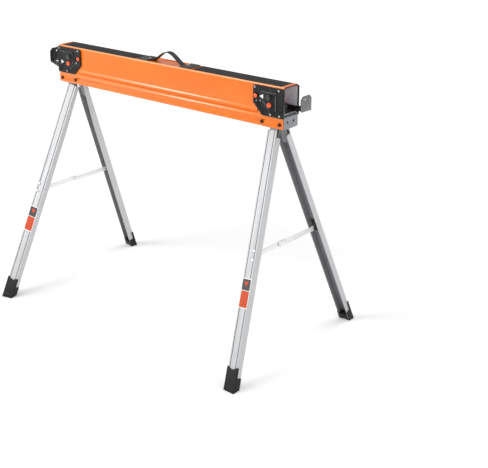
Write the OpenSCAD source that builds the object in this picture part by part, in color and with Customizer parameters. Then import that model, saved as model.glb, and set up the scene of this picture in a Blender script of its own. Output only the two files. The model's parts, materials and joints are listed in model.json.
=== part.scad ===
// Folding sawhorse with two pairs of swing-away legs
// Millimetres, +Z up, origin on the floor under the beam's centre, +X along the beam

/* [Beam] */
// Length of the beam
beam_len = 960; // [800:10:1200]
// Outside width of the beam
beam_w = 68; // [66:1:90]
// Height of the beam from its open lower edge to its top face
beam_h = 126; // [120:1:150]
// Height of the top face above the floor
top_z = 856; // [700:1:950]
// Sheet thickness of the beam walls
shell_t = 1.2; // [1:0.1:1.6]
// Outer radius of the beam's long top edges
shell_r = 5; // [4:0.5:8]
// Height of the stiffening rib pressed out of each wall
rib_d = 1.7; // [1:0.1:2]
// How far the lower strip of each wall stands proud
strip_d = 1.3; // [0.8:0.1:1.6]
// Thickness of the top skin with its raised rim
top_t = 4; // [3:0.5:6]
// Depth of the pad pockets in the top
pocket_d = 2.6; // [1.5:0.1:3]

/* [Legs] */
// Width of the leg channel along the beam
leg_w = 36; // [30:1:38]
// Depth of the leg channel across the beam
leg_d = 24; // [20:1:25]
// Sheet thickness of the leg channel
leg_t = 1.8; // [1.5:0.1:2.5]
// Distance of the foot centres from the beam's centre, along the beam
foot_x = 507; // [480:1:540]
// Distance of the foot centres from the beam's centre, across the beam
foot_y = 305; // [250:1:330]
// Leg top distance along the beam for the right pair, which folds lower
low_top_x = 434; // [420:1:440]
// Leg top distance along the beam for the left pair, which folds higher
high_top_x = 430; // [420:1:440]
// Distance of each leg's centre line from the beam's centre plane at the lower edge
leg_top_y = 12.1; // [12:0.1:14]
// Distance of a folded leg's centre line from the beam's centre plane
lane_y = 12.6; // [12.4:0.1:13.5]
// Height of the folded right pair above the beam's lower edge
low_lane = 19.5; // [19:0.5:21]
// Height of the folded left pair above the beam's lower edge
high_lane = 58.5; // [58:0.5:64]
// Slant of the right pair's hinge pins in side view
low_slant = 0.16; // [0.1:0.01:0.2]
// Slant of the left pair's hinge pins in side view
high_slant = 0.08; // [0.02:0.01:0.1]
// Radius of the leg hinge pins
pin_r = 4; // [3:0.1:5]

/* [Brace] */
// Height of the folding brace above the floor
brace_z = 366.5; // [250:0.5:450]
// Height of the brace bars
bar_h = 14.5; // [12:0.5:16]
// Thickness of the brace bars
bar_t = 3; // [2:0.5:3.5]
// Space between the two overlapping brace bars
bar_gap = 3.8; // [3:0.1:5]
// Distance of the right brace pivots in from the leg's centre line
low_brace_in = 4.2; // [3:0.2:5]
// Distance of the left brace pivots in from the leg's centre line
high_brace_in = -1.8; // [-2:0.2:0]
// Length of the right sleeve head beyond the centre joint
low_head = 36; // [15:1:45]
// Length of the left sleeve head beyond the centre joint
high_head = 4; // [2:1:6]
// Radius of the brace pivots
brace_pin_r = 2.5; // [2:0.1:3]

/* [Feet] */
// Width of the foot along the beam
foot_w = 39.6; // [38:0.2:40]
// Height of the foot's outer face
foot_h = 63; // [50:1:70]
// Number of grooves in the sole
sole_grooves = 5; // [3:1:7]

/* [Handle] */
// Half length of the strap between its anchors
strap_half = 64; // [50:1:70]
// Rise of the strap above the top face
strap_rise = 34; // [25:1:40]
// Width of the strap
strap_w = 21; // [18:1:36]
// Thickness of the strap
strap_t = 2.5; // [2:0.5:4]

/* [Fittings] */
// Height of the lip of each stock bracket
lip_top = 834; // [820:1:845]
// Distance of the bracket lip from the beam's centre
lip_x = 530; // [520:1:540]
// Sheet thickness of the stock bracket
hook_t = 2; // [1.5:0.5:2.5]
// Depth of the plastic end covers
cover_t = 4.5; // [3:0.5:6]
// Radius of the two fixing holes in each end plate
end_hole_r = 4.4; // [2.5:0.1:5]
// Distance between the two fixing holes in each end plate
end_hole_pitch = 30; // [24:1:40]

/* [Hidden] */
$fn = 48;

beam_z = top_z - beam_h;
half_w = beam_w / 2;
half_l = beam_len / 2;
wall_in = half_w - shell_t;
liner_t = 2;
liner_out = wall_in - 0.2;
liner_in = liner_out - liner_t;

// Hinge geometry: one slanted pin turns a leg from its spread pose to its lane in the beam
function unit(v) = v / norm(v);
function turn(v, k, q) = v * cos(q) + cross(k, v) * sin(q) + k * (k * v) * (1 - cos(q));
function leg_top(up) = [up ? high_top_x : low_top_x, -leg_top_y, beam_z];
foot_pt = [foot_x, -foot_y, 0];
function leg_dir(up) = unit(foot_pt - leg_top(up));
function slant(up) = up ? high_slant : low_slant;
function lane_z(up) = beam_z + (up ? high_lane : low_lane);
function lean(up) = (slant(up) * leg_dir(up)[2] - leg_dir(up)[1]) / (1 + leg_dir(up)[0]);
function hinge_axis(up) = unit([lean(up), 1, -slant(up)]);
function across(v, k) = v - k * (k * v);
function hinge_turn(up) = atan2(
  hinge_axis(up) * cross(across(leg_dir(up), hinge_axis(up)), across([-1, 0, 0], hinge_axis(up))),
  across(leg_dir(up), hinge_axis(up)) * across([-1, 0, 0], hinge_axis(up)));
function img(v, up) = turn(v, hinge_axis(up), hinge_turn(up));
function m_yx(up) = -img([1, 0, 0], up)[1];
function m_zx(up) = -img([1, 0, 0], up)[2];
function m_yz(up) = -img([0, 0, 1], up)[1];
function m_zz(up) = 1 - img([0, 0, 1], up)[2];
function r_y(up) = -lane_y - img(foot_pt, up)[1];
function r_z(up) = lane_z(up) - img(foot_pt, up)[2];
function m_det(up) = m_yx(up) * m_zz(up) - m_yz(up) * m_zx(up);
function hinge_x(up) = (r_y(up) * m_zz(up) - m_yz(up) * r_z(up)) / m_det(up);
function hinge_z(up) = (m_yx(up) * r_z(up) - m_zx(up) * r_y(up)) / m_det(up);
function hinge_pt(up) = [hinge_x(up), 0, hinge_z(up)];
function fold_top(up) = img(leg_top(up) - hinge_pt(up), up) + hinge_pt(up);
function lane_hit(up) = hinge_pt(up) - hinge_axis(up) * lane_y / hinge_axis(up)[1];
function pin_u(up) = fold_top(up)[2] - lane_hit(up)[2];
function pin_v(up) = lane_hit(up)[0] - fold_top(up)[0];
leg_len = norm(foot_pt - leg_top(false));

// Brace geometry
function brace_s(up) = (beam_z - brace_z) / -leg_dir(up)[2];
function brace_mid(up) = leg_top(up) + leg_dir(up) * brace_s(up);
function brace_pt(up) = brace_mid(up) + [0, up ? high_brace_in : low_brace_in, 0];
function bar_len(up) = -brace_pt(up)[1];
function brace_lean(up) = atan2(leg_dir(up)[0], -leg_dir(up)[2]);
tab_t = 2;

orange = [0.95, 0.42, 0.08];
dark = [0.13, 0.13, 0.14];
steel = [0.62, 0.63, 0.65];
bright = [0.86, 0.87, 0.89];

// Mirror a right-hand front piece to its place
module at_side(end, side) {
  mirror([end < 0 ? 1 : 0, 0, 0])
    mirror([0, side > 0 ? 1 : 0, 0])
      children();
}

// Leg frame of the front right leg: +Z up the leg, +X outward along the beam, -Y outward across it
module in_leg(up) {
  translate(hinge_pt(up))
    rotate(a = -hinge_turn(up), v = hinge_axis(up))
      translate(fold_top(up) - hinge_pt(up))
        rotate([0, 90, 0])
          children();
}

// Brace frame at the front right pivot: +X along the pivot, +Y to the centre joint
module in_brace(up) {
  translate(brace_pt(up))
    rotate([0, -brace_lean(up), 0])
      children();
}

// Cylinder whose axis runs from point p towards direction d
module rod(p, d, r, from, to) {
  translate(p)
    rotate([0, acos(d[2] / norm(d)), atan2(d[1], d[0])])
      translate([0, 0, from])
        cylinder(r = r, h = to - from);
}

module block(x0, x1, y0, y1, z0, z1) {
  translate([x0, y0, z0]) cube([x1 - x0, y1 - y0, z1 - z0]);
}

// ---------- beam ----------
module beam_bar(length, w, h, r) {
  translate([-length / 2, 0, beam_z])
    rotate([90, 0, 90])
      linear_extrude(length)
        union() {
          translate([-w / 2, 0]) square([w, h - r]);
          translate([-w / 2 + r, 0]) square([w - 2 * r, h]);
          for (s = [-1, 1]) translate([s * (w / 2 - r), h - r]) circle(r = r);
        }
}

// Pressed rib and proud lower strip of both walls, standing on the plane y
module ribs(y, rib_reach, strip_reach, z0) {
  for (s = [-1, 1]) {
    wall_bar(rib_reach)
      polygon([[s * (y - 0.01), 51], [s * (y + rib_d), 46.5], [s * (y + rib_d), 40], [s * (y - 0.01), 35.5]]);
    wall_bar(strip_reach)
      polygon([[s * (y - 0.01), 31], [s * (y + strip_d), 27], [s * (y + strip_d), z0], [s * (y - 0.01), z0]]);
  }
}

module wall_bar(reach) {
  translate([-reach, 0, beam_z])
    rotate([90, 0, 90])
      linear_extrude(2 * reach)
        children();
}

module beam_shell() {
  color(orange)
    difference() {
      union() {
        beam_bar(beam_len, beam_w, beam_h, shell_r);
        ribs(half_w, rib_end, half_l, 0);
      }
      beam_bar(beam_len + 2, beam_w - 2 * shell_t, beam_h - top_t, shell_r - shell_t);
      ribs(wall_in, rib_end - 1, 368, -1);
      block(-half_l - 1, half_l + 1, -wall_in, wall_in, beam_z - 1, beam_z + 0.01);
      for (end = [-1, 1]) mirror([end < 0 ? 1 : 0, 0, 0])
        block(pad_x0, pad_x1, -pad_half - 0.1, pad_half + 0.1, top_z - pocket_d, top_z + 1);
      block(-recess_half, recess_half, -pad_half, pad_half, top_z - pocket_d, top_z + 1);
      for (end = [-1, 1], side = [-1, 1]) at_side(end, side) {
        for (x = bolt_x) rod([x, -half_w - 5, bolt_z], [0, 1, 0], 3.1, 0, 15);
        rod([button_x(end * side), -half_w - 5, button_z], [0, 1, 0], 3.4, 0, 15);
      }
    }
}
rib_end = 384;
pad_x0 = 119;
pad_x1 = 467;
pad_half = half_w - 4.6;
recess_half = 115;
bolt_x = [402, 467];
bolt_z = beam_z + 13;
button_z = beam_z + 67.5;
function button_x(hand) = hand < 0 ? 431 : 429;

module top_pad(end) {
  color(dark)
    mirror([end < 0 ? 1 : 0, 0, 0])
      difference() {
        block(pad_x0 + 0.2, pad_x1 - 0.2, -pad_half, pad_half, top_z - pocket_d, top_z);
        for (s = [-1, 1])
          translate([0, s * pad_half, top_z])
            rotate([45, 0, 0])
              block(pad_x0, pad_x1, -0.6, 0.6, -0.6, 0.6);
      }
}

// ---------- end brackets ----------
module end_bracket(end) {
  up = end < 0;
  hp = hinge_pt(up);
  color(steel)
    mirror([end < 0 ? 1 : 0, 0, 0])
      union() {
        difference() {
          for (side = [-1, 1]) mirror([0, side > 0 ? 1 : 0, 0]) {
            face_plate(liner_in, liner_t)
              polygon([[372, beam_z], [half_l - 0.1, beam_z], [half_l - 0.1, liner_top], [372, liner_top],
                [372, beam_z + 60], [404, beam_z + 60], [404, beam_z + 28], [372, beam_z + 28]]);
            block(401, 470, -liner_out, -liner_in, beam_z - 2, beam_z + 1);
          }
          for (side = [-1, 1]) mirror([0, side > 0 ? 1 : 0, 0]) {
            for (x = bolt_x) rod([x, -half_w - 5, bolt_z], [0, 1, 0], 3.1, 0, 20);
            rod([button_x(end * side), -half_w - 5, button_z], [0, 1, 0], 3.4, 0, 20);
          }
        }
        difference() {
          block(half_l - 2, half_l, -liner_out, liner_out, beam_z - 2, beam_z + 35);
          for (s = [-1, 1])
            rod([half_l - 5, s * end_hole_pitch / 2, beam_z + 19], [1, 0, 0], end_hole_r, 0, 10);
        }
        block(shelf_x(end), half_l - 1, -liner_in - 0.5, liner_in + 0.5, beam_z + 33.4, beam_z + 35);
        rod([hp[0], -1.25, hp[2]], [0, 1, 0], 9, 0, 2.5);
        block(hp[0], half_l - 1, -1.25, 1.25, max(hp[2] - 8, beam_z - 2), hp[2] + 8);
      }
}

liner_top = beam_z + beam_h - top_t - 4.4;
function shelf_x(end) = end < 0 ? 473 : 455;

// Black guide tray that the stock bracket's arm runs over
module bracket_guide(end) {
  x0 = end < 0 ? 474 : 446;
  y1 = liner_in - 0.5 - hook_t - 0.4;
  z0 = beam_z + 40.5;
  color(dark)
    mirror([end < 0 ? 1 : 0, 0, 0])
      mirror([0, end < 0 ? 1 : 0, 0])
        union() {
          block(x0, half_l - 0.5, -liner_in + 0.05, y1, z0, z0 + 1.4);
          block(x0, x0 + 1.6, -liner_in + 0.05, y1, z0, z0 + 18);
          block(x0, half_l - 0.5, -liner_in + 0.05, -liner_in + 1.65, z0, z0 + 18);
          block(half_l - 2, half_l - 0.5, -liner_in + 0.05, y1, z0, z0 + 6);
        }
}

module hinge_pins(end) {
  up = end < 0;
  color(bright)
    for (side = [-1, 1]) at_side(end, side)
      intersection() {
        rod(hinge_pt(up), -hinge_axis(up), pin_r, 0, 40);
        block(400, half_l, -liner_in, -1.25, beam_z - 30, beam_z + 60);
      }
}

// ---------- legs ----------
module channel_section(w, d, t) {
  r = 2.4;
  difference() {
    union() {
      translate([-w / 2, -d / 2 + r]) square([w, d - r]);
      translate([-w / 2 + r, -d / 2]) square([w - 2 * r, d / 2]);
      for (s = [-1, 1]) translate([s * (w / 2 - r), -d / 2 + r]) circle(r = r);
    }
    translate([-w / 2 + t, -d / 2 + t]) square([w - 2 * t, d]);
    for (s = [-1, 1])
      translate([s * (w / 2 - 7), -d / 2])
        polygon([[-1.3, -0.01], [0, 0.9], [1.3, -0.01]]);
  }
}
leg_start = 14;

module leg(end, side) {
  up = end < 0;
  color(bright)
    at_side(end, side)
      difference() {
        in_leg(up)
          difference() {
            translate([0, 0, -leg_len + 7])
              linear_extrude(leg_len - 7 - leg_start)
                channel_section(leg_w, leg_d, leg_t);
            translate([0, 0, -leg_start - 22])
              block(leg_w / 2 - 4, leg_w / 2 + 1, -leg_d / 2 + 3.2, leg_d, 0, 30);
            if (up) {
              taper(-leg_w / 2 - 1, -leg_w / 2 + 4, 6.6, 170);
              taper(leg_w / 2 - 4, leg_w / 2 + 1, 2, 90);
            }
            if (!up) taper(-leg_w, leg_w, 1.2, 60);
            for (s = rivet_s(up))
              rod([8.5, -leg_d / 2 - 5, -s], [0, 1, 0], 2.6, 0, 10);
          }
      }
}

// Slanted cut along the open edge of a leg near its top
module taper(x0, x1, depth, span) {
  translate([x0, 0, 0])
    rotate([90, 0, 90])
      linear_extrude(x1 - x0)
        polygon([[leg_d / 2 - depth, 1], [leg_d / 2 - depth, -leg_start], [leg_d / 2 + 0.02, -span],
          [leg_d / 2 + 3, -span], [leg_d / 2 + 3, 1]]);
}
function rivet_s(up) = [brace_s(up) - 17.9, brace_s(up) + 9.2];

// Stamped hinge arm in the leg's top with a barrel round the slanted pin
module hinge_arm(end, side) {
  up = end < 0;
  u = pin_u(up);
  v = pin_v(up);
  hw = leg_w / 2 - leg_t - 0.1;
  y_out = -leg_d / 2 + leg_t + 0.1;
  color(steel)
    at_side(end, side)
      difference() {
        union() {
          in_leg(up) {
            for (y = [y_out, 1.5])
              translate([0, y + 3, 0])
                rotate([90, 0, 0])
                  linear_extrude(3)
                    union() {
                      translate([u, v]) circle(r = 8);
                      polygon([[-hw, -64], [-hw, -20], [-hw + 8, -8], [u - 6, v + 5.2],
                        [u + 6, v - 5.2], [hw, -14], [hw, -64]]);
                    }
            block(-hw, -hw + 3, y_out, 4.5, -64, -22);
          }
          intersection() {
            rod(hinge_pt(up), -hinge_axis(up), 6.6, 5, 28);
            in_leg(up) block(u - 12, u + 12, y_out, 4.5, v - 12, v + 12);
          }
        }
        rod(hinge_pt(up), -hinge_axis(up), pin_r + 0.06, -5, 45);
      }
}

// ---------- feet ----------
module foot(end, side) {
  up = end < 0;
  fh = foot_h / -leg_dir(up)[2];
  color(dark)
    at_side(end, side)
      difference() {
        in_leg(up)
          translate([0, 0, -leg_len])
            difference() {
              union() {
                block(-foot_w / 2, foot_w / 2, -leg_d / 2 - 1.4, leg_d / 2 + 0.2, -16, 38);
                block(-foot_w / 2, foot_w / 2, -leg_d / 2 - 1.4, -leg_d / 2 + 6, 30, fh);
                block(-foot_w / 2 + 0.8, foot_w / 2 - 0.8, -leg_d / 2 - 2.6, -leg_d / 2, -16, 12);
              }
              difference() {
                block(-leg_w / 2 - 0.1, leg_w / 2 + 0.1, -leg_d / 2 - 0.1, leg_d, 7 - 0.1, fh + 10);
                block(-leg_w / 2 + leg_t + 0.1, leg_w / 2 - leg_t - 0.1,
                  -leg_d / 2 + leg_t + 0.1, leg_d / 2 + 0.2, 0, 26);
              }
              rod([0, -leg_d, fh + 14], [0, 1, 0], 20, 0, leg_d);
              rod([0, leg_d / 2 - 7, -2], [0, 1, 0], 12, 0, 20);
            }
        block(0, 700, -500, 0, -60, 0);
        for (k = [0 : sole_grooves - 1])
          translate([foot_x + (k - (sole_grooves - 1) / 2) * 7.4, 0, 0])
            rotate([0, 45, 0])
              block(-1.6, 1.6, -400, -200, -1.6, 1.6);
      }
}

// ---------- brace ----------
// The long sleeve bar hangs on the rear right and front left legs, on the outer layer
function is_sleeve(end, side) = end == side;
function layer(end, side) = is_sleeve(end, side) ? 1 : -1;

module brace_tab(end, side) {
  up = end < 0;
  c = layer(end, side);
  reach = is_sleeve(end, side) ? 12 : 8.5;
  c0 = c * (bar_gap / 2 + bar_t + 0.3);
  color(dark)
    at_side(end, side)
      difference() {
        union() {
          difference() {
            in_leg(up)
              block(-15, 15, -leg_d / 2 + leg_t + 0.05, -leg_d / 2 + leg_t + 0.05 + tab_t,
                -brace_s(up) - 22, -brace_s(up) + 22);
            in_brace(up)
              block(min(-c * 0.6, c0), max(-c * 0.6, c0), -40, 40, -9, 60);
          }
          in_brace(up)
            block(min(c0, c0 + c * tab_t), max(c0, c0 + c * tab_t), -30, reach, -8.5, 8.5);
        }
        in_leg(up) block(-30, 30, -60, -leg_d / 2 + leg_t + 0.05, -brace_s(up) - 60, -brace_s(up) + 60);
        in_brace(up) rod([-20, 0, 0], [1, 0, 0], brace_pin_r + 0.01, 0, 40);
        in_leg(up) for (s = rivet_s(up)) rod([8.5, -leg_d, -s], [0, 1, 0], 2.6, 0, 30);
      }
}

module leg_rivets(end, side) {
  up = end < 0;
  c = layer(end, side);
  t0 = bar_gap / 2 - 0.1;
  t1 = bar_gap / 2 + bar_t + 0.3 + tab_t + 1.6;
  color(steel)
    at_side(end, side) {
      in_leg(up) for (s = rivet_s(up)) {
        rod([8.5, -leg_d / 2 - 1.6, -s], [0, 1, 0], 4.6, 0, 1.6);
        rod([8.5, -leg_d / 2 - 0.1, -s], [0, 1, 0], 2.5, 0, leg_t + tab_t + 0.1);
      }
      in_brace(up) {
        rod([0, 0, 0], [c, 0, 0], brace_pin_r, t0, t1);
        rod([0, 0, 0], [c, 0, 0], 4.2, t1 - 1.5, t1);
        rod([0, 0, 0], [c, 0, 0], 4.2, t0 - 1.2, t0);
      }
    }
}

module brace_bar(end, side) {
  up = end < 0;
  c = layer(end, side);
  n = bar_len(up);
  g = bar_gap / 2;
  h = bar_h / 2;
  sleeve = is_sleeve(end, side);
  over = up ? high_head : low_head;
  lift = up ? 0.6 : 1.4;
  color(bright)
    at_side(end, side)
      in_brace(up)
        difference() {
          union() {
            layer_plate(c, g, bar_t) {
              circle(r = h);
              translate([0, -h]) square([sleeve ? n - 20 : n, bar_h]);
              translate([n, 0]) circle(r = h);
            }
            if (sleeve) {
              layer_plate(c, g, bar_t) translate([n - 30, -h]) square([30 + over, bar_h + lift]);
              layer_plate(c, g + bar_t, 1.2) translate([n - 30, -h]) square([28 + over, bar_h + lift]);
              if (!up)
                layer_plate(c, -g - bar_t, 2 * g + 2 * bar_t)
                  translate([n + 13, h + 0.4]) square([over - 13, 1.6]);
              layer_plate(c, g + bar_t + 1, 2.2) translate([n, 0]) circle(r = 5.5);
              layer_plate(c, 0.3, g) translate([n, 0]) circle(r = 5);
            }
            if (!sleeve) layer_plate(c, g + bar_t - 0.1, 1.8) translate([n, 0]) circle(r = 5);
          }
          rod([-20, 0, 0], [1, 0, 0], brace_pin_r + 0.06, 0, 40);
        }
}

// Flat plate standing in the brace plane on layer side c, starting g from the middle
module layer_plate(c, g, t) {
  translate([c > 0 ? g : -g - t, 0, 0])
    rotate([90, 0, 90])
      linear_extrude(t)
        union() children();
}

// ---------- covers ----------
module cover_outline(inset) {
  x0 = 370 + inset;
  x1 = 482 - inset;
  z0 = beam_z + 33 + inset;
  z1 = beam_z + 121 - inset;
  r = 8;
  union() {
    polygon([[x0, z0 + 34], [x0 + 33, z0], [x1, z0], [x1, z1], [x0 + r, z1], [x0 + r, z1 - r], [x0, z1 - r]]);
    translate([x0 + r, z1 - r]) circle(r = r);
  }
}
knob_z = beam_z + 90;
function screw_pts(hand) = hand < 0
  ? [[376, beam_z + 114], [464, beam_z + 114.5], [467, beam_z + 39], [433.5, beam_z + 39]]
  : [[382.7, beam_z + 115.4], [390, beam_z + 73], [440, beam_z + 40], [475, beam_z + 115]];

module cover(end, side) {
  hand = end * side;
  color(dark)
    at_side(end, side)
      difference() {
        face_plate(half_w + 0.05, cover_t) cover_outline(0);
        face_plate(half_w + cover_t - 1.4, 3) difference() {
          cover_outline(6);
          for (q = screw_pts(hand)) translate(q) circle(r = 5.5);
          translate([button_x(hand), button_z]) circle(r = 11);
          translate([428, knob_z]) circle(r = 12);
        }
        rod([button_x(hand), -half_w - 20, button_z], [0, 1, 0], 7.3, 0, 30);
        rod([428, -half_w - 20, knob_z], [0, 1, 0], 5.05, 0, 30);
        rod([380, -half_w - 20, knob_z - 1.5], [0, 1, 0], 4.05, 0, 30);
        for (q = screw_pts(hand)) {
          rod([q[0], -half_w - 20, q[1]], [0, 1, 0], 2.1, 0, 30);
          rod([q[0], -half_w - cover_t - 20, q[1]], [0, 1, 0], 3.5, 0, 20 + 1.4);
        }
      }
}

// Plate on the front wall, from y = -start outward by t, drawn as (x, z)
module face_plate(start, t) {
  translate([0, -start, 0])
    rotate([90, 0, 0])
      linear_extrude(t)
        children();
}

module cover_screws() {
  color(steel)
    for (end = [-1, 1], side = [-1, 1])
      for (q = screw_pts(end * side))
        at_side(end, side)
          difference() {
            union() {
              rod([q[0], -half_w - cover_t, q[1]], [0, 1, 0], 3.2, -0.2, 1.2);
              rod([q[0], -half_w - cover_t, q[1]], [0, 1, 0], 2, 0, cover_t - 0.1);
            }
            rod([q[0], -half_w - cover_t, q[1]], [0, 1, 0], 1.5, -1, 0.7);
          }
}

module frame_bolts() {
  color(dark)
    for (end = [-1, 1], side = [-1, 1])
      at_side(end, side)
        for (x = bolt_x) {
          difference() {
            rod([x, -half_w - strip_d - 2.8, bolt_z], [0, 1, 0], 5.2, 0, 2.75);
            rod([x, -half_w - strip_d - 3.8, bolt_z], [0, 1, 0], 2.3, 0, 2.4);
          }
          rod([x, -half_w - 0.5 - strip_d, bolt_z], [0, 1, 0], 3, 0, half_w + 0.5 + strip_d - liner_in);
        }
}

module cover_knobs() {
  color(dark)
    for (end = [-1, 1], side = [-1, 1])
      at_side(end, side) {
        rod([428, -half_w - 0.1, knob_z], [0, -1, 0], 5, 0, cover_t + 1);
        rod([428, -half_w - cover_t - 0.1, knob_z], [0, -1, 0], 8, 0, 3.2);
        rod([380, -half_w - 0.1, knob_z - 1.5], [0, -1, 0], 4, 0, cover_t);
        rod([380, -half_w - cover_t - 0.1, knob_z - 1.5], [0, -1, 0], 6, 0, 1);
      }
}

module release_button(end, side) {
  hand = end * side;
  color(orange)
    at_side(end, side) {
      rod([button_x(hand), -half_w - 4, button_z], [0, -1, 0], 7, 0, 4.5);
      rod([button_x(hand), -liner_in + 0.5, button_z], [0, -1, 0], 3, 0, half_w + 4 - liner_in);
    }
}

// ---------- handle ----------
strap_z = top_z - pocket_d + 0.05;
anchor_top = top_z + 1.9;
arc_rise = strap_rise - strap_t;
arc_h = top_z + arc_rise - strap_z;
arc_r = (strap_half * strap_half + arc_h * arc_h) / (2 * arc_h);

module handle_strap() {
  cz = top_z + arc_rise - arc_r;
  color(dark)
    union() {
      intersection() {
        difference() {
          rod([0, -strap_w / 2, cz], [0, 1, 0], arc_r + strap_t, 0, strap_w);
          rod([0, -strap_w / 2 - 1, cz], [0, 1, 0], arc_r, 0, strap_w + 2);
        }
        block(-100, 100, -strap_w, strap_w, strap_z, top_z + 100);
      }
      for (s = [-1, 1]) mirror([s < 0 ? 1 : 0, 0, 0])
        block(strap_half, 100, -strap_w / 2, strap_w / 2, strap_z, strap_z + strap_t);
    }
}

module handle_anchors() {
  a0 = 70;
  a1 = 114;
  w = pad_half * 2 - 1;
  color(dark)
    for (s = [-1, 1]) mirror([s < 0 ? 1 : 0, 0, 0])
      difference() {
        union() {
          block(a0, a1 - 14, -w / 2, w / 2, strap_z, anchor_top);
          block(a0, a1, -w / 2 + 14, w / 2 - 14, strap_z, anchor_top);
          for (k = [-1, 1]) rod([a1 - 14, k * (w / 2 - 14), strap_z], [0, 0, 1], 14, 0, anchor_top - strap_z);
        }
        block(0, 100.3, -strap_w / 2 - 0.3, strap_w / 2 + 0.3, strap_z - 1, strap_z + strap_t + 0.3);
        rod([82, 0, strap_z], [0, 0, 1], 3.1, 0, 10);
      }
}

module handle_rivets() {
  color(bright)
    for (s = [-1, 1]) mirror([s < 0 ? 1 : 0, 0, 0]) {
      rod([82, 0, strap_z + strap_t + 0.1], [0, 0, 1], 3, 0, anchor_top - strap_z - strap_t);
      rod([82, 0, anchor_top + 0.05], [0, 0, 1], 5, 0, 1.4);
    }
}

// ---------- stock brackets ----------
module stock_bracket(end) {
  ya = liner_in - 0.5 - hook_t;
  yb = liner_in - 0.5;
  color(dark)
    mirror([end < 0 ? 1 : 0, 0, 0])
      mirror([0, end < 0 ? 1 : 0, 0])
        difference() {
          union() {
            translate([0, yb, 0])
              rotate([90, 0, 0])
                linear_extrude(hook_t)
                  polygon([[412, beam_z + 42], [half_l + 2, beam_z + 42], [lip_x + hook_t, beam_z + 58],
                    [lip_x + hook_t, beam_z + 62], [half_l + 4, beam_z + 62], [half_l - 2, beam_z + 60],
                    [412, beam_z + 60]]);
            translate([lip_x, 0, 0])
              rotate([90, 0, 90])
                linear_extrude(hook_t)
                  polygon([[yb, beam_z + 56], [yb, lip_top - 10], [yb - 10, lip_top], [-12, lip_top],
                    [-22, lip_top - 10], [-22, beam_z + 61], [-19, beam_z + 58]]);
            block(half_l + 4, lip_x + 1, ya - 5, yb, beam_z + 60, beam_z + 62);
          }
          rod([lip_x - 5, 0, top_z - 34], [1, 0, 0], 2.8, 0, 20);
        }
}

beam_shell();
top_pad(1);  // top_pad_right
top_pad(-1);  // top_pad_left
end_bracket(1);  // end_bracket_right
end_bracket(-1);  // end_bracket_left
bracket_guide(1);  // bracket_guide_right
bracket_guide(-1);  // bracket_guide_left
hinge_pins(1);  // hinge_pins_right
hinge_pins(-1);  // hinge_pins_left
cover(1, -1);  // cover_front_right
cover(-1, -1);  // cover_front_left
cover(1, 1);  // cover_rear_right
cover(-1, 1);  // cover_rear_left
cover_screws();
frame_bolts();
cover_knobs();
handle_strap();
handle_anchors();
handle_rivets();
release_button(1, -1);  // button_front_right
release_button(-1, -1);  // button_front_left
release_button(1, 1);  // button_rear_right
release_button(-1, 1);  // button_rear_left
stock_bracket(1);  // stock_bracket_right
stock_bracket(-1);  // stock_bracket_left
leg(1, -1);  // leg_front_right
leg(1, 1);  // leg_rear_right
leg(-1, -1);  // leg_front_left
leg(-1, 1);  // leg_rear_left
hinge_arm(1, -1);  // hinge_arm_front_right
hinge_arm(1, 1);  // hinge_arm_rear_right
hinge_arm(-1, -1);  // hinge_arm_front_left
hinge_arm(-1, 1);  // hinge_arm_rear_left
foot(1, -1);  // foot_front_right
foot(1, 1);  // foot_rear_right
foot(-1, -1);  // foot_front_left
foot(-1, 1);  // foot_rear_left
brace_tab(1, -1);  // brace_tab_front_right
brace_tab(1, 1);  // brace_tab_rear_right
brace_tab(-1, -1);  // brace_tab_front_left
brace_tab(-1, 1);  // brace_tab_rear_left
leg_rivets(1, -1);  // leg_rivets_front_right
leg_rivets(1, 1);  // leg_rivets_rear_right
leg_rivets(-1, -1);  // leg_rivets_front_left
leg_rivets(-1, 1);  // leg_rivets_rear_left
brace_bar(1, -1);  // brace_bar_front_right
brace_bar(1, 1);  // brace_bar_rear_right
brace_bar(-1, -1);  // brace_bar_front_left
brace_bar(-1, 1);  // brace_bar_rear_left
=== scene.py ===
import json
import math

import bmesh
import bpy
from mathutils import Matrix, Vector


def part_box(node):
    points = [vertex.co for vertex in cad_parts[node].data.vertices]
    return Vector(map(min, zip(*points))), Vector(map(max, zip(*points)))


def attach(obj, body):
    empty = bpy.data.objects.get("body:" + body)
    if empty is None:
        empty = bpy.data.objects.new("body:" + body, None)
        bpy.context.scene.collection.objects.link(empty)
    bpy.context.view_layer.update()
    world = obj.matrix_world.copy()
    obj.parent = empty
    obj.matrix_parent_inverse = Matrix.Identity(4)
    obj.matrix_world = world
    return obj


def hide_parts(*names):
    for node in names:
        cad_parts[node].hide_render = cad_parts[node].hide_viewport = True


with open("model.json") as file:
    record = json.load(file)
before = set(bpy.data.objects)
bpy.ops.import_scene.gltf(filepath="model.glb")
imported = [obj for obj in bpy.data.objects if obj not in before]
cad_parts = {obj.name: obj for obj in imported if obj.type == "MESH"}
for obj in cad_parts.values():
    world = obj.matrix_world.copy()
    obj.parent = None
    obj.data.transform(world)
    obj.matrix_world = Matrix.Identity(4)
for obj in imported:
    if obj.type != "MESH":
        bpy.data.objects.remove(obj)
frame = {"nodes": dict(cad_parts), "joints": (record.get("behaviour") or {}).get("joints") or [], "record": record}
scene = bpy.context.scene
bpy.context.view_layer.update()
nodes = frame["nodes"]
SLOT = {s["node"]: s["material_slot"] for s in frame["record"]["subparts"]}
JOINT = {j["name"]: j for j in frame["joints"]}


# ---------------------------------------------------------------- materials
PAINT_WEAR_AND_HIGHLIGHT = 0.0011      # how far the lighter edges reach in (rubbed paint, on the beam also painted highlight), metres
METAL_RUB = 0.0006
PLASTIC_RUB = 0.0008
EDGE_DOT = (0.98, 0.84)  # cosine between flat and rounded normal: no edge, full edge


def lin(r, g, b):
    """sRGB to linear colour."""
    return tuple(c / 12.92 if c <= 0.04045 else ((c + 0.055) / 1.055) ** 2.4 for c in (r, g, b))


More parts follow.
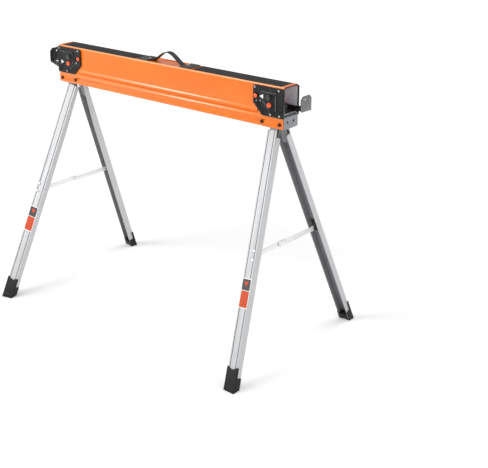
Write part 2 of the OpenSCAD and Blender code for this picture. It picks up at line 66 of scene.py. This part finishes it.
class Tree:
    """Short-hand for building one node material."""

    def __init__(self, name):
        self.mat = bpy.data.materials.new(name)
        self.mat.use_nodes = True
        self.nt = self.mat.node_tree
        self.nt.nodes.clear()
        self.out = self.nt.nodes.new("ShaderNodeOutputMaterial")
        self.bsdf = self.nt.nodes.new("ShaderNodeBsdfPrincipled")
        self.nt.links.new(self.bsdf.outputs[0], self.out.inputs[0])
        self.co = self.nt.nodes.new("ShaderNodeTexCoord").outputs["Object"]

    def link(self, a, b):
        self.nt.links.new(a, b)

    def scaled(self, stretch):
        m = self.nt.nodes.new("ShaderNodeMapping")
        m.inputs["Scale"].default_value = stretch
        self.link(self.co, m.inputs["Vector"])
        return m.outputs[0]

    def noise(self, scale, detail=3.0, stretch=None, rough=0.5):
        n = self.nt.nodes.new("ShaderNodeTexNoise")
        n.inputs["Scale"].default_value = scale
        n.inputs["Detail"].default_value = detail
        n.inputs["Roughness"].default_value = rough
        self.link(self.scaled(stretch) if stretch else self.co, n.inputs["Vector"])
        return n.outputs["Fac"]

    def cells(self, scale):
        n = self.nt.nodes.new("ShaderNodeTexVoronoi")
        n.inputs["Scale"].default_value = scale
        self.link(self.co, n.inputs["Vector"])
        return n

    def span(self, fac, lo, hi, a, b):
        """Map lo..hi to a..b."""
        m = self.nt.nodes.new("ShaderNodeMapRange")
        for key, v in (("From Min", lo), ("From Max", hi), ("To Min", a), ("To Max", b)):
            m.inputs[key].default_value = v
        self.link(fac, m.inputs["Value"])
        return m.outputs[0]

    def math(self, op, a, b):
        m = self.nt.nodes.new("ShaderNodeMath")
        m.operation = op
        m.use_clamp = True
        for i, v in enumerate((a, b)):
            if isinstance(v, (int, float)):
                m.inputs[i].default_value = v
            else:
                self.link(v, m.inputs[i])
        return m.outputs[0]

    def blend(self, a, b, share):
        """Weighted sum: share of a and the rest of b."""
        return self.math("ADD", self.math("MULTIPLY", a, share),
                         self.math("MULTIPLY", b, round(1.0 - share, 6)))

    def mix(self, fac, a, b):
        m = self.nt.nodes.new("ShaderNodeMix")
        m.data_type = "RGBA"
        self.link(fac, m.inputs[0])
        for i, v in ((6, a), (7, b)):
            if isinstance(v, tuple):
                m.inputs[i].default_value = (*v, 1.0)
            else:
                self.link(v, m.inputs[i])
        return m.outputs[2]

    def edges(self, radius):
        """1 along sharp edges, 0 on flats."""
        bev = self.nt.nodes.new("ShaderNodeBevel")
        bev.samples = 4
        bev.inputs["Radius"].default_value = radius
        geo = self.nt.nodes.new("ShaderNodeNewGeometry")
        dot = self.nt.nodes.new("ShaderNodeVectorMath")
        dot.operation = "DOT_PRODUCT"
        self.link(bev.outputs[0], dot.inputs[0])
        self.link(geo.outputs["Normal"], dot.inputs[1])
        return self.span(dot.outputs["Value"], *EDGE_DOT, 0.0, 1.0)

    def bump(self, height, strength, dist):
        b = self.nt.nodes.new("ShaderNodeBump")
        b.inputs["Strength"].default_value = strength
        b.inputs["Distance"].default_value = dist
        self.link(height, b.inputs["Height"])
        return b.outputs[0]

    def done(self, color, rough, normal, **flat):
        """Link the varying sockets and set the constant ones; a _ in a key is a space."""
        self.link(color, self.bsdf.inputs["Base Color"])
        self.link(rough, self.bsdf.inputs["Roughness"])
        self.link(normal, self.bsdf.inputs["Normal"])
        for key, v in flat.items():
            self.bsdf.inputs[key.replace("_", " ")].default_value = v
        return self.mat


def painted(name, base, worn_and_highlight, rough, grain=900.0, peel=0.25, wear_and_highlight=0.35, coat=0.0, shine=0.5,
            gloss=0.25):
    """Powder coat or paint: fine orange peel, slight mottling, lighter edges (rubbed, on the beam partly painted
    highlight).
    """
    t = Tree(name)
    broad = t.noise(9.0, 4.0)
    fine = t.noise(grain, 2.0)
    patch = t.noise(70.0, 5.0, rough=0.65)
    dark = tuple(c * 0.88 for c in base)
    color = t.mix(t.span(broad, 0.3, 0.7, 0.0, 1.0), dark, base)
    # lighter edges: rubbed paint, and on the beam a painted highlight along its edges
    mask = t.math("MULTIPLY", t.edges(PAINT_WEAR_AND_HIGHLIGHT), t.span(patch, 0.42, 0.62, 0.0, wear_and_highlight))
    color = t.mix(mask, color, worn_and_highlight)
    r = t.math("ADD", t.span(patch, 0.3, 0.7, rough - 0.05, rough + 0.07),
               t.math("MULTIPLY", mask, 0.12))
    height = t.blend(fine, t.noise(grain / 5, 2.0), 0.5)
    return t.done(color, r, t.bump(height, peel, 0.00012), Coat_Weight=coat,
                  Coat_Roughness=gloss, Specular_IOR_Level=shine)


def metal(name, base, rough, stretch=(1.0, 1.0, 1.0), metallic=0.9, spangle=60.0, contrast=0.1):
    """Bright metal: zinc spangle, drawing lines along the section, rubbed edges."""
    t = Tree(name)
    grey = t.nt.nodes.new("ShaderNodeRGBToBW")
    t.link(t.cells(spangle).outputs["Color"], grey.inputs[0])
    grain = grey.outputs[0]
    cloud = t.noise(14.0, 5.0)
    drawn = t.noise(160.0, 3.0, stretch)
    dim = tuple(c * (1.0 - contrast) for c in base)
    color = t.mix(t.span(t.blend(grain, cloud, 0.45), 0.25, 0.75, 0.0, 1.0), dim, base)
    bright = tuple(min(1.0, c * 1.12) for c in base)
    mask = t.math("MULTIPLY", t.edges(METAL_RUB), t.span(drawn, 0.35, 0.65, 0.2, 0.9))
    color = t.mix(mask, color, bright)
    r = t.math("ADD", t.span(drawn, 0.3, 0.7, rough - 0.06, rough + 0.06),
               t.span(grain, 0.2, 0.8, 0.0, 0.05))
    height = t.blend(drawn, t.noise(700.0, 2.0), 0.7)
    return t.done(color, r, t.bump(height, 0.12, 0.00015), Metallic=metallic)


def plastic(name, base, rough, grain=1500.0, strength=0.3, pale=0.10, shine=0.3):
    """Moulded plastic or rubber: fine spark texture, dust and rubbed edges."""
    t = Tree(name)
    fine = t.noise(grain, 2.0)
    dust = t.noise(24.0, 6.0, rough=0.7)
    dusty = tuple(min(1.0, c + 0.02) for c in base)
    color = t.mix(t.span(dust, 0.35, 0.75, 0.0, 0.6), base, dusty)
    mask = t.math("MULTIPLY", t.edges(PLASTIC_RUB),
                  t.span(t.noise(90.0, 4.0), 0.35, 0.65, 0.15, 0.8))
    color = t.mix(mask, color, tuple(min(1.0, c + pale) for c in base))
    r = t.math("ADD", t.span(dust, 0.3, 0.7, rough - 0.06, rough + 0.06),
               t.span(fine, 0.3, 0.7, -0.03, 0.03))
    height = t.blend(fine, t.noise(grain / 4, 3.0), 0.6)
    return t.done(color, r, t.bump(height, strength, 0.00018), Specular_IOR_Level=shine)


def gritty(name, base, rough):
    """Textured grip pad: coarse and fine grit over a dark sheet, with some pale dust."""
    t = Tree(name)
    coarse = t.cells(900.0).outputs["Distance"]
    fine = t.noise(1800.0, 2.0)
    dust = t.noise(16.0, 6.0, rough=0.7)
    speck = t.span(t.noise(700.0, 2.0), 0.52, 0.7, 0.0, 0.8)
    color = t.mix(speck, base, tuple(c * 2.4 + 0.01 for c in base))
    color = t.mix(t.span(dust, 0.45, 0.75, 0.0, 0.25), color, lin(0.33, 0.33, 0.33))
    height = t.blend(coarse, fine, 0.6)
    r = t.span(dust, 0.3, 0.7, rough - 0.05, rough + 0.06)
    return t.done(color, r, t.bump(height, 0.55, 0.0005), Specular_IOR_Level=0.25)


# Stretch of the drawing lines: they run along the axis that keeps scale 1
ALONG_LEG = (14.0, 14.0, 1.0)
ALONG_BRACE = (14.0, 1.0, 14.0)

MAT = {
    # The beam's pale peach edge colour and strong edge amount paint a highlight along its edges.
    "beam_orange": painted(
        "beam_orange", lin(0.95, 0.45, 0.0), lin(1.0, 0.72, 0.42), 0.4,
        peel=0.12, wear_and_highlight=0.6, coat=0.8, shine=0.05, gloss=0.11),
    "button_orange": plastic(
        "button_orange", lin(0.92, 0.33, 0.08), 0.28, pale=0.12, strength=0.15, shine=0.5),
    "pad_black": gritty("pad_black", lin(0.14, 0.145, 0.15), 0.8),
    "bracket_grey": painted(
        "bracket_grey", lin(0.55, 0.57, 0.595), lin(0.78, 0.78, 0.79), 0.42),
    "pin_steel": metal("pin_steel", lin(0.80, 0.80, 0.81), 0.3, spangle=300.0),
    "hinge_zinc": metal("hinge_zinc", lin(0.52, 0.52, 0.53), 0.5, metallic=0.5, spangle=160.0),
    "screw_steel": metal("screw_steel", lin(0.68, 0.68, 0.69), 0.35, spangle=500.0),
    "knob_black": plastic("knob_black", lin(0.05, 0.05, 0.055), 0.22, shine=0.6),
    "cover_black": plastic("cover_black", lin(0.07, 0.07, 0.075), 0.3, pale=0.16, shine=0.2),
    "bolt_black": painted(
        "bolt_black", lin(0.12, 0.06, 0.045), lin(0.42, 0.32, 0.28), 0.34,
        grain=1600.0, shine=0.3),
    "strap_rubber": plastic("strap_rubber", lin(0.085, 0.085, 0.09), 0.42),
    "anchor_black": painted(
        "anchor_black", lin(0.17, 0.17, 0.175), lin(0.45, 0.45, 0.45), 0.45),
    "rivet_steel": metal("rivet_steel", lin(0.82, 0.82, 0.83), 0.32, spangle=400.0),
    "hook_black": painted("hook_black", lin(0.42, 0.42, 0.43), lin(0.66, 0.66, 0.66), 0.36),
    "leg_galvanised": metal(
        "leg_galvanised", lin(0.79, 0.795, 0.80), 0.52,
        stretch=ALONG_LEG, metallic=0.3, spangle=90.0, contrast=0.08),
    "foot_rubber": plastic("foot_rubber", lin(0.085, 0.085, 0.09), 0.5, grain=900.0, shine=0.2),
    "tab_black": painted("tab_black", lin(0.22, 0.22, 0.225), lin(0.5, 0.5, 0.5), 0.45),
    "brace_galvanised": metal(
        "brace_galvanised", lin(0.95, 0.955, 0.96), 0.42,
        stretch=ALONG_BRACE, metallic=0.3, spangle=110.0, contrast=0.08),
}


# ---------------------------------------------------------------- rounded edges
SOFT_ANGLE = 32        # edges sharper than this are rounded, degrees
SOFT_ANGLE_SHELL = 14  # lower on the beam, whose pressed rib has flatter edges
EDGE_WIDTH = {
    "beam_orange": 0.0005, "button_orange": 0.0006, "pad_black": 0.0004,
    "bracket_grey": 0.0004, "pin_steel": 0.0003, "hinge_zinc": 0.0004,
    "screw_steel": 0.00025, "knob_black": 0.0006, "cover_black": 0.0005,
    "bolt_black": 0.0004, "anchor_black": 0.0005, "rivet_steel": 0.0004,
    "hook_black": 0.0003, "leg_galvanised": 0.0003, "foot_rubber": 0.0008,
    "tab_black": 0.0003, "brace_galvanised": 0.0003,
}


def soften(obj, width, angle=SOFT_ANGLE):
    """Rounded edges as modifiers; the mesh itself stays as it is."""
    weld = obj.modifiers.new("weld", "WELD")
    weld.merge_threshold = 0.00001
    bevel = obj.modifiers.new("bevel", "BEVEL")
    bevel.width = width
    bevel.segments = 2
    bevel.limit_method = "ANGLE"
    bevel.angle_limit = math.radians(angle)
    bevel.harden_normals = True


def shade(mesh, smooth):
    for p in mesh.polygons:
        p.use_smooth = smooth


for name, obj in nodes.items():
    obj.data.materials.clear()
    obj.data.materials.append(MAT[SLOT[name]])
    if name != "handle_strap":  # carry_strap takes its place
        shade(obj.data, True)
        soften(obj, EDGE_WIDTH[SLOT[name]],
               SOFT_ANGLE_SHELL if name == "beam_shell" else SOFT_ANGLE)


# ---------------------------------------------------------------- single faces: cut edges, painted light and painted shade
BAY_START = 0.37    # the end bays lie beyond this x
BAY_FLOOR = 0.795   # and above this height
BAY_ROOF = 0.80     # the top's underside lies above this
TOP_EDGES = 0.84    # the rounded top edges lie above this, the pressed rib below

CUT_EDGE = painted("cut_edge", lin(0.20, 0.13, 0.10), lin(0.35, 0.26, 0.2), 0.5)
# Painted highlight: a lighter orange on the beam's rounded top edges, where a highlight would lie.
EDGE_HIGHLIGHT = painted(
    "beam_edge_painted_highlight", lin(0.99, 0.66, 0.40), lin(1.0, 0.78, 0.52), 0.36,
    peel=0.12, coat=0.8, gloss=0.11)
# Painted highlight: a lighter orange on the upward-facing slopes of the pressed rib and strip.
RIB_TOP_HIGHLIGHT = painted(
    "beam_rib_top_painted_highlight", lin(0.975, 0.52, 0.13), lin(1.0, 0.75, 0.45), 0.36,
    peel=0.12, coat=0.8, gloss=0.11)
# Painted shade: a darker orange on the downward-facing slopes of the pressed rib and strip.
RIB_UNDER_SHADE = painted(
    "beam_rib_under_painted_shade", lin(0.87, 0.37, 0.0), lin(0.9, 0.45, 0.1), 0.42, peel=0.12, shine=0.1)
# Painted shade: every face of the stock hooks except those facing out of the beam end is near-black, darker than
# the grey outer faces.
HOOK_INNER_SHADE = plastic("hook_inner_painted_shade", lin(0.10, 0.10, 0.105), 0.34, shine=0.4)
# Painted light: a lighter, cooler copy of the bracket grey on the end brackets' faces that face into the end bays,
# also used in place of orange on the underside of the beam top there.
LINER_LIT = painted("liner_painted_light", lin(0.77, 0.82, 0.86), lin(0.88, 0.88, 0.89), 0.35)


def finish_faces(node, parts):
    """Give the faces that a test picks their own material (cut edges, painted light and shade); parts is a list of
    (material, test).
    """
    mesh = nodes[node].data
    for k, (material, test) in enumerate(parts):
        mesh.materials.append(material)
        for p in mesh.polygons:
            if test(p.center, p.normal):
                p.material_index = k + 1


finish_faces("beam_shell", [
    (LINER_LIT, lambda c, n: abs(c.x) > BAY_START and n.z < -0.3 and c.z > BAY_ROOF),
    (CUT_EDGE, lambda c, n: abs(n.x) > 0.95),
    (EDGE_HIGHLIGHT, lambda c, n: n.y * c.y > 0.0 and 0.3 < n.z < 0.97 and c.z > TOP_EDGES),
    (RIB_TOP_HIGHLIGHT, lambda c, n: n.y * c.y > 0.0 and 0.2 < n.z < 0.6 and c.z < TOP_EDGES),
    (RIB_UNDER_SHADE, lambda c, n: n.y * c.y > 0.0 and -0.6 < n.z < -0.2),
])
for end, out in (("right", 1.0), ("left", -1.0)):
    finish_faces("stock_bracket_" + end, [(HOOK_INNER_SHADE, lambda c, n: n.x * out < 0.5)])
    finish_faces("end_bracket_" + end,
                 [(LINER_LIT, lambda c, n: n.y * c.y < -0.02 and c.z > BAY_FLOOR)])


# ---------------------------------------------------------------- mesh helpers
def piece(name, bm, material, body):
    """Turn a bmesh into a smooth-shaded piece that rides a body."""
    mesh = bpy.data.meshes.new(name)
    bmesh.ops.recalc_face_normals(bm, faces=bm.faces)
    bm.to_mesh(mesh)
    bm.free()
    shade(mesh, True)
    obj = bpy.data.objects.new(name, mesh)
    scene.collection.objects.link(obj)
    mesh.materials.append(material)
    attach(obj, body)
    return obj


def skin(bm, r0, r1):
    """Faces between two rings of vertices; r1 may be a single point."""
    n = len(r0)
    for i in range(n):
        j = (i + 1) % n
        if len(r1) == 1:
            bm.faces.new((r0[i], r0[j], r1[0]))
        else:
            bm.faces.new((r0[i], r0[j], r1[j], r1[i]))


def prism(bm, outline, place, t0, t1):
    """Closed plate: outline points (a, b), place(a, b, t) gives the 3-D point."""
    lo = [bm.verts.new(place(a, b, t0)) for a, b in outline]
    hi = [bm.verts.new(place(a, b, t1)) for a, b in outline]
    bm.faces.new(lo)
    bm.faces.new(list(reversed(hi)))
    skin(bm, lo, hi)


def rounded(x0, x1, y0, y1, r, steps=5):
    """Outline of a rectangle with round corners."""
    corners = ((x1 - r, y0 + r, -90), (x1 - r, y1 - r, 0),
               (x0 + r, y1 - r, 90), (x0 + r, y0 + r, 180))
    pts = []
    for cx, cy, a0 in corners:
        for i in range(steps + 1):
            a = math.radians(a0 + 90 * i / steps)
            pts.append((cx + r * math.cos(a), cy + r * math.sin(a)))
    return pts


def disc(cx, cy, r, steps):
    """Outline of a circle."""
    turns = [2 * math.pi * i / steps for i in range(steps)]
    return [(cx + r * math.cos(a), cy + r * math.sin(a)) for a in turns]


def bar(x0, z0, x1, z1, w):
    """Outline of a straight bar with round ends."""
    a = math.atan2(z1 - z0, x1 - x0)
    pts = []
    for cx, cz, s in ((x1, z1, -90), (x0, z0, 90)):
        for i in range(7):
            q = a + math.radians(s + 30 * i)
            pts.append((cx + w / 2 * math.cos(q), cz + w / 2 * math.sin(q)))
    return pts


# ---------------------------------------------------------------- carry strap
STRAP_THICK = 0.0025
STRAP_CORNER = 0.0012
ARCH_HALF = 0.066        # half the span of the free arch
ARCH_STEPS = 56
ARCH_POWER = 0.82        # below 1 makes the arch fuller than a cosine
FLAT_X = (0.076, 0.088)  # extra sections in the flat ends
SLOPE_STEP = 0.0005


def strap():
    """The CAD strap's size, with a softly curved arch and round corners."""
    lo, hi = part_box("handle_strap")
    half_w = (hi.y - lo.y) / 2
    rise = hi.z - lo.z - STRAP_THICK

    def height(x):
        if abs(x) >= ARCH_HALF:
            return 0.0
        u = 0.5 + 0.5 * math.cos(math.pi * x / ARCH_HALF)
        return rise * u ** ARCH_POWER

    arch = [-ARCH_HALF + 2 * ARCH_HALF * i / ARCH_STEPS for i in range(ARCH_STEPS + 1)]
    xs = [-hi.x, -FLAT_X[1], -FLAT_X[0]] + arch + [FLAT_X[0], FLAT_X[1], hi.x]
    section = rounded(-half_w, half_w, 0.0, STRAP_THICK, STRAP_CORNER, 4)
    bm = bmesh.new()
    rings = []
    for x in xs:
        slope = math.atan2(height(x + SLOPE_STEP) - height(x - SLOPE_STEP), 2 * SLOPE_STEP)
        rings.append([
            bm.verts.new((x - math.sin(slope) * b, a, lo.z + height(x) + math.cos(slope) * b))
            for a, b in section
        ])
    for r0, r1 in zip(rings, rings[1:]):
        skin(bm, r0, r1)
    bm.faces.new(rings[0])
    bm.faces.new(list(reversed(rings[-1])))
    obj = piece("carry_strap", bm, MAT["strap_rubber"], "beam")
    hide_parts("handle_strap")


strap()


# ---------------------------------------------------------------- legs
LABEL_WHITE = plastic("label_white", lin(0.93, 0.93, 0.92), 0.35, strength=0.05, pale=0.0)
LABEL_GREY = plastic("label_grey", lin(0.27, 0.27, 0.28), 0.35, strength=0.05, pale=0.05)
LABEL_ORANGE = plastic("label_orange", lin(0.80, 0.29, 0.14), 0.45, strength=0.05, pale=0.05)
# Painted shade: a darker copy of the leg metal for the inside of the channel.
LEG_INSIDE_SHADE = metal(
    "leg_inside_painted_shade", lin(0.56, 0.56, 0.57), 0.62,
    stretch=ALONG_LEG, metallic=0.35, spangle=90.0, contrast=0.12)
# Painted shade: a darker copy of the leg metal for the pressed lines.
LEG_GROOVE_SHADE = metal(
    "leg_groove_painted_shade", lin(0.42, 0.42, 0.44), 0.55,
    stretch=ALONG_LEG, metallic=0.4, spangle=90.0, contrast=0.1)
WEB_DEPTH = 0.0011    # faces nearer than this to the web's outside belong to the web
FLANGE_EDGE = 0.001   # and those this near to the channel's sides to the flanges
GROOVE_EDGE = 0.003   # the pressed lines lie further in than this


def folded_box(which):
    """The leg's matrix from folded to standing, and its box where it lies folded.

    Folded, the channel is square with the beam, which makes its faces easy to pick.
    """
    j = JOINT["leg_fold_" + which]
    p = Vector(j["pos_m"])
    turn = Matrix.Rotation(-math.radians(j["range_deg"][1]), 4, Vector(j["axis"]))
    stand = Matrix.Translation(p) @ turn @ Matrix.Translation(-p)
    back = stand.inverted()
    pts = [back @ v.co for v in nodes["leg_" + which].data.vertices]
    lo = Vector([min(q[i] for q in pts) for i in range(3)])
    hi = Vector([max(q[i] for q in pts) for i in range(3)])
    return stand, lo, hi


def leg_faces(which):
    """Painted shade: the inside of the channel and the pressed lines get darker copies of the leg's metal."""
    stand, lo, hi = folded_box(which)
    back = stand.inverted()
    turn = back.to_3x3()
    mesh = nodes["leg_" + which].data
    mesh.materials.append(LEG_INSIDE_SHADE)
    mesh.materials.append(LEG_GROOVE_SHADE)
    out = -1.0 if which.startswith("front") else 1.0
    face = lo.y if out < 0 else hi.y
    mid, half = (lo.z + hi.z) / 2, (hi.z - lo.z) / 2
    for p in mesh.polygons:
        c, n = back @ p.center, turn @ p.normal
        depth, off = abs(c.y - face), abs(c.z - mid)
        # inside of the channel: painted shade
        if depth > WEB_DEPTH and (n.y * out < -0.5 or off < half - FLANGE_EDGE):
            p.material_index = 1
        # pressed lines: painted shade
        elif depth < WEB_DEPTH and abs(n.z) > 0.3 and off < half - GROOVE_EDGE:
            p.material_index = 2


STICKER = (0.236, 0.326)  # from and to, above the leg's lower end
STICKER_HALF = 0.0168     # half its width
STICKER_BORDER = 0.002
STICKER_CORNER = 0.003
FIELD_CORNER = 0.0015
SHEET_LAYER = (0.0001, 0.0004)  # underside and top above the leg's web
FIELD_LAYER = (0.0003, 0.0006)
MARK_LAYER = (0.0005, 0.0008)


def stickers(which):
    """A white sticker with a grey field, an orange field and a plain triangle; no text."""
    stand, lo, hi = folded_box(which)
    end = 1 if which.endswith("right") else -1
    foot = lo.x if end > 0 else hi.x
    mid = (lo.z + hi.z) / 2

    def place(a, b, t):
        return stand @ Vector((foot + end * a, lo.y - t, mid + b))

    a0, a1 = STICKER
    w, v = STICKER_HALF, STICKER_HALF - STICKER_BORDER
    sheet = rounded(a0, a1, -w, w, STICKER_CORNER)
    upper = rounded(a1 - 0.036, a1 - 0.003, -v, v, FIELD_CORNER)
    lower = rounded(a0 + 0.003, a1 - 0.038, -v, v, FIELD_CORNER)
    triangle = [(a1 - 0.010, -0.0085), (a1 - 0.010, 0.0085), (a1 - 0.026, 0.0)]
    for tag, outline, layer, material in (
        ("white", sheet, SHEET_LAYER, LABEL_WHITE),
        ("grey", upper, FIELD_LAYER, LABEL_GREY),
        ("orange", lower, FIELD_LAYER, LABEL_ORANGE),
        ("mark", triangle, MARK_LAYER, LABEL_ORANGE),
    ):
        bm = bmesh.new()
        prism(bm, outline, place, *layer)
        obj = piece("sticker_%s_%s" % (tag, which), bm, material, "leg_" + which)
        shade(obj.data, False)


for which in ("front_right", "front_left", "rear_right", "rear_left"):
    leg_faces(which)
for which in ("front_right", "front_left"):
    stickers(which)


# ---------------------------------------------------------------- cover details
# Painted highlight: the cover's ribs are a lighter, glossier black than the cover around them.
RIB_PAINTED_HIGHLIGHT = plastic("cover_rib", lin(0.16, 0.16, 0.17), 0.22, pale=0.2, shine=0.7)
MARK_WHITE = plastic("mark_white", lin(0.90, 0.90, 0.90), 0.4, strength=0.08, pale=0.0)
COVER_STEP = 0.0014   # the recessed field of a cover lies this far behind its rim
COVER_BELOW = 0.033   # height of a cover's lower edge in the drawings below

# Drawn as the front shows them: x along the beam, z upwards, metres
RIGHT_END = {
    "ribs": [bar(0.4534, 0.053, 0.4534, 0.0957, 0.0032),
             bar(0.411, 0.0743, 0.4254, 0.057, 0.0035),
             bar(0.3995, 0.1045, 0.4534, 0.1045, 0.003),
             bar(0.3995, 0.1045, 0.3995, 0.0955, 0.003)],
    "mark": [(0.3925, 0.089), (0.4065, 0.0820), (0.4065, 0.0960)],
    "dot": (0.380, 0.0885),
    "studs": [(0.3815, 0.0735), (0.3965, 0.0755)],
    "button": (0.431, 0.0675),
}
LEFT_END = {
    "ribs": [bar(-0.4688, 0.0524, -0.4688, 0.100, 0.0032),
             bar(-0.4018, 0.0796, -0.4249, 0.0524, 0.0032),
             bar(-0.395, 0.0757, -0.418, 0.0485, 0.0032),
             bar(-0.4688, 0.106, -0.412, 0.106, 0.003),
             bar(-0.412, 0.106, -0.404, 0.097, 0.003)],
    "mark": [(-0.4534, 0.0692), (-0.4666, 0.0622), (-0.4666, 0.0762)],
    "dot": (-0.380, 0.0885),
    "studs": [],
    "button": (-0.429, 0.0675),
}
RIB_LAYER = (-0.0002, 0.0026)    # underside and top above the recessed field
PRINT_LAYER = (0.00005, 0.0003)
# Turned profiles: (radius, height)
DOT_PROFILE = [(0.0066, 0.0009), (0.0066, 0.0022), (0.0058, 0.0030), (0.003, 0.0034),
               (0, 0.0035)]
STUD_PROFILE = [(0.0021, -0.0001), (0.0021, 0.0006), (0.0012, 0.0011), (0, 0.0013)]
RING_PROFILE = [(0.0088, -0.0002), (0.0088, 0.0011), (0.0093, 0.0015),
                (0.0101, 0.0015), (0.0106, 0.0011), (0.0106, -0.0002)]


def turned(bm, centre, place, profile, steps, closed=False):
    """Turned cap that ends in a point, or a closed ring."""
    rings = [
        [bm.verts.new(place(a, b, t)) for a, b in (disc(*centre, r, steps) if r else [centre])]
        for r, t in profile
    ]
    if closed:
        rings.append(rings[0])
    else:
        bm.faces.new(rings[0])
    for r0, r1 in zip(rings, rings[1:]):
        skin(bm, r0, r1)


def cover_details(tag, drawn):
    """Ribs, mark, dot, studs and button ring; a rear cover is a front one turned round."""
    lo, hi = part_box("cover_" + tag)
    turn = 1.0 if tag.startswith("front") else -1.0
    face = lo.y if turn > 0 else -hi.y
    base = lo.z - COVER_BELOW

    def on(level):
        return lambda a, b, t: Vector((turn * a, turn * (level - t), base + b))

    field = on(face + COVER_STEP)

    def plates(name, outlines, material, layer, soft):
        bm = bmesh.new()
        for outline in outlines:
            prism(bm, outline, field, *layer)
        soften(piece("%s_%s" % (name, tag), bm, material, "beam"), soft)

    plates("cover_ribs", drawn["ribs"], RIB_PAINTED_HIGHLIGHT, RIB_LAYER, 0.0009)
    plates("cover_mark", [drawn["mark"]], MARK_WHITE, PRINT_LAYER, 0.0001)
    bm = bmesh.new()
    turned(bm, drawn["dot"], on(face), DOT_PROFILE, 32)
    piece("cover_dot_" + tag, bm, MAT["button_orange"], "beam")
    if drawn["studs"]:
        bm = bmesh.new()
        for centre in drawn["studs"]:
            turned(bm, centre, field, STUD_PROFILE, 20)
        piece("cover_studs_" + tag, bm, MAT["screw_steel"], "beam")
    bm = bmesh.new()
    turned(bm, drawn["button"], field, RING_PROFILE, 36, closed=True)
    piece("cover_ring_" + tag, bm, MAT["cover_black"], "beam")


cover_details("front_right", RIGHT_END)
cover_details("front_left", LEFT_END)
cover_details("rear_left", RIGHT_END)
cover_details("rear_right", LEFT_END)


# ---------------------------------------------------------------- camera, light, floor
# The camera fitted to the photo; angles in degrees
CAMERA_AT = (2.2154, -2.3824, 1.5887)
CAMERA_TILT = 69.65
CAMERA_HEADING = 39.39
CAMERA_LENS = 76.9
CAMERA_SHIFT = (0.0242, -0.0656)

# name, place, aim, size, power, height of a panel (None makes a disk)
LIGHTS = [
    ("key", (-2.62, -2.84, 1.8), (0.0, 0.0, 0.76), 2.3, 60.0, 0.8),
    ("soft", (-0.9, -2.4, 3.6), (0.0, 0.0, 0.6), 1.4, 42.0, None),
    ("fill", (3.6, -0.8, 2.0), (0.0, 0.0, 0.5), 2.0, 30.0, None),
    ("top", (0.6, 1.2, 3.8), (0.0, 0.0, 0.0), 2.4, 40.0, None),
]
WORLD_STRENGTH = 0.50
WHITE = (1.0, 1.0, 1.0, 1.0)
FLOOR_HALF = 14.0
FLOOR_DROP = 0.0005
# The floor's glow grows with the distance from the object, so that it runs into the
# photo's white while the shadows near the feet stay
GLOW_REACH = (1.2, 4.2)
GLOW = (0.12, 0.56)


def camera():
    data = bpy.data.cameras.new("camera")
    data.lens = CAMERA_LENS
    data.sensor_width = 36.0
    data.shift_x, data.shift_y = CAMERA_SHIFT
    data.clip_end = 60.0
    cam = bpy.data.objects.new("camera", data)
    cam.location = CAMERA_AT
    cam.rotation_euler = (math.radians(CAMERA_TILT), 0.0, math.radians(CAMERA_HEADING))
    scene.collection.objects.link(cam)
    scene.camera = cam


def area(name, loc, aim, size, power, height):
    """Soft light: a disk, or a wide panel when it has a height."""
    data = bpy.data.lights.new(name, "AREA")
    data.shape = "RECTANGLE" if height else "DISK"
    data.size = size
    if height:
        data.size_y = height
    data.energy = power
    obj = bpy.data.objects.new(name, data)
    obj.location = loc
    obj.rotation_euler = (Vector(aim) - Vector(loc)).to_track_quat("-Z", "Y").to_euler()
    scene.collection.objects.link(obj)


def floor_material():
    """Plain pale floor with a soft glow of its own."""
    t = Tree("floor_pale")
    fine = t.noise(220.0, 3.0)
    color = t.mix(t.span(t.noise(1.5, 3.0), 0.3, 0.7, 0.0, 1.0),
                  (0.93, 0.93, 0.93), (0.95, 0.95, 0.95))
    away = t.nt.nodes.new("ShaderNodeVectorMath")
    away.operation = "LENGTH"
    t.link(t.co, away.inputs[0])
    glow = t.span(away.outputs["Value"], *GLOW_REACH, *GLOW)
    t.link(glow, t.bsdf.inputs["Emission Strength"])
    return t.done(color, t.span(fine, 0.3, 0.7, 0.6, 0.7), t.bump(fine, 0.02, 0.0001),
                  Emission_Color=WHITE)


def studio():
    world = bpy.data.worlds.new("studio")
    scene.world = world
    world.use_nodes = True
    background = world.node_tree.nodes["Background"]
    background.inputs[0].default_value = WHITE
    background.inputs[1].default_value = WORLD_STRENGTH
    for light in LIGHTS:
        area(*light)
    bm = bmesh.new()
    bmesh.ops.create_grid(bm, x_segments=8, y_segments=8, size=FLOOR_HALF)
    mesh = bpy.data.meshes.new("floor")
    bm.to_mesh(mesh)
    bm.free()
    floor = bpy.data.objects.new("floor", mesh)
    floor.location.z = -FLOOR_DROP
    scene.collection.objects.link(floor)
    mesh.materials.append(floor_material())
    scene.view_settings.view_transform = "Standard"
    scene.view_settings.exposure = 0.0


camera()
studio()
